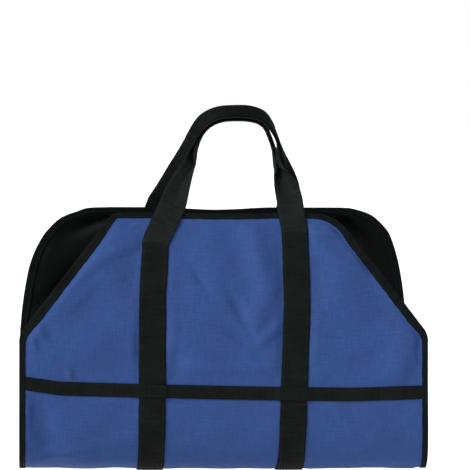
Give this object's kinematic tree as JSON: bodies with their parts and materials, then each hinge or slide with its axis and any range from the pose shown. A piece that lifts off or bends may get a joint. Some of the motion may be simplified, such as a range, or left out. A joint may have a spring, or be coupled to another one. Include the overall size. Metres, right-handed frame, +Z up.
{
  "type": "open firewood carrier bag",
  "caption": "Open sling bag for carrying firewood: a cloth sheet hung in a U from webbing handles, with cut-away shoulders and bound edges.",
  "frame": {"origin": "the hand grip, midway between the two folded handle grips where a hand holds both together", "axes": "+Z up, +X to the right seen from the front, -Y towards the viewer and the front panel"},
  "size_m": [0.502, 0.2278, 0.4532],
  "materials": {
    "blue_cloth": "plain woven coated polyester, blue, matt with a soft sheen",
    "black_lining": "coated black cloth, soft low gloss",
    "binding_tape": "ribbed black binding tape, stitched along its inner edge",
    "webbing": "black ribbed webbing, matt",
    "narrow_webbing": "narrow black webbing, matt"
  },
  "bodies": {
    "root": {"body_shell": "blue_cloth", "lining": "black_lining", "edge_binding_front": "binding_tape", "edge_binding_back": "binding_tape", "edge_binding_left": "binding_tape", "edge_binding_right": "binding_tape", "strap_left": "webbing", "strap_right": "webbing", "cross_strap_front": "narrow_webbing", "cross_strap_back": "narrow_webbing", "handle_front": "webbing", "handle_back": "webbing"}
  },
  "joints": []
}
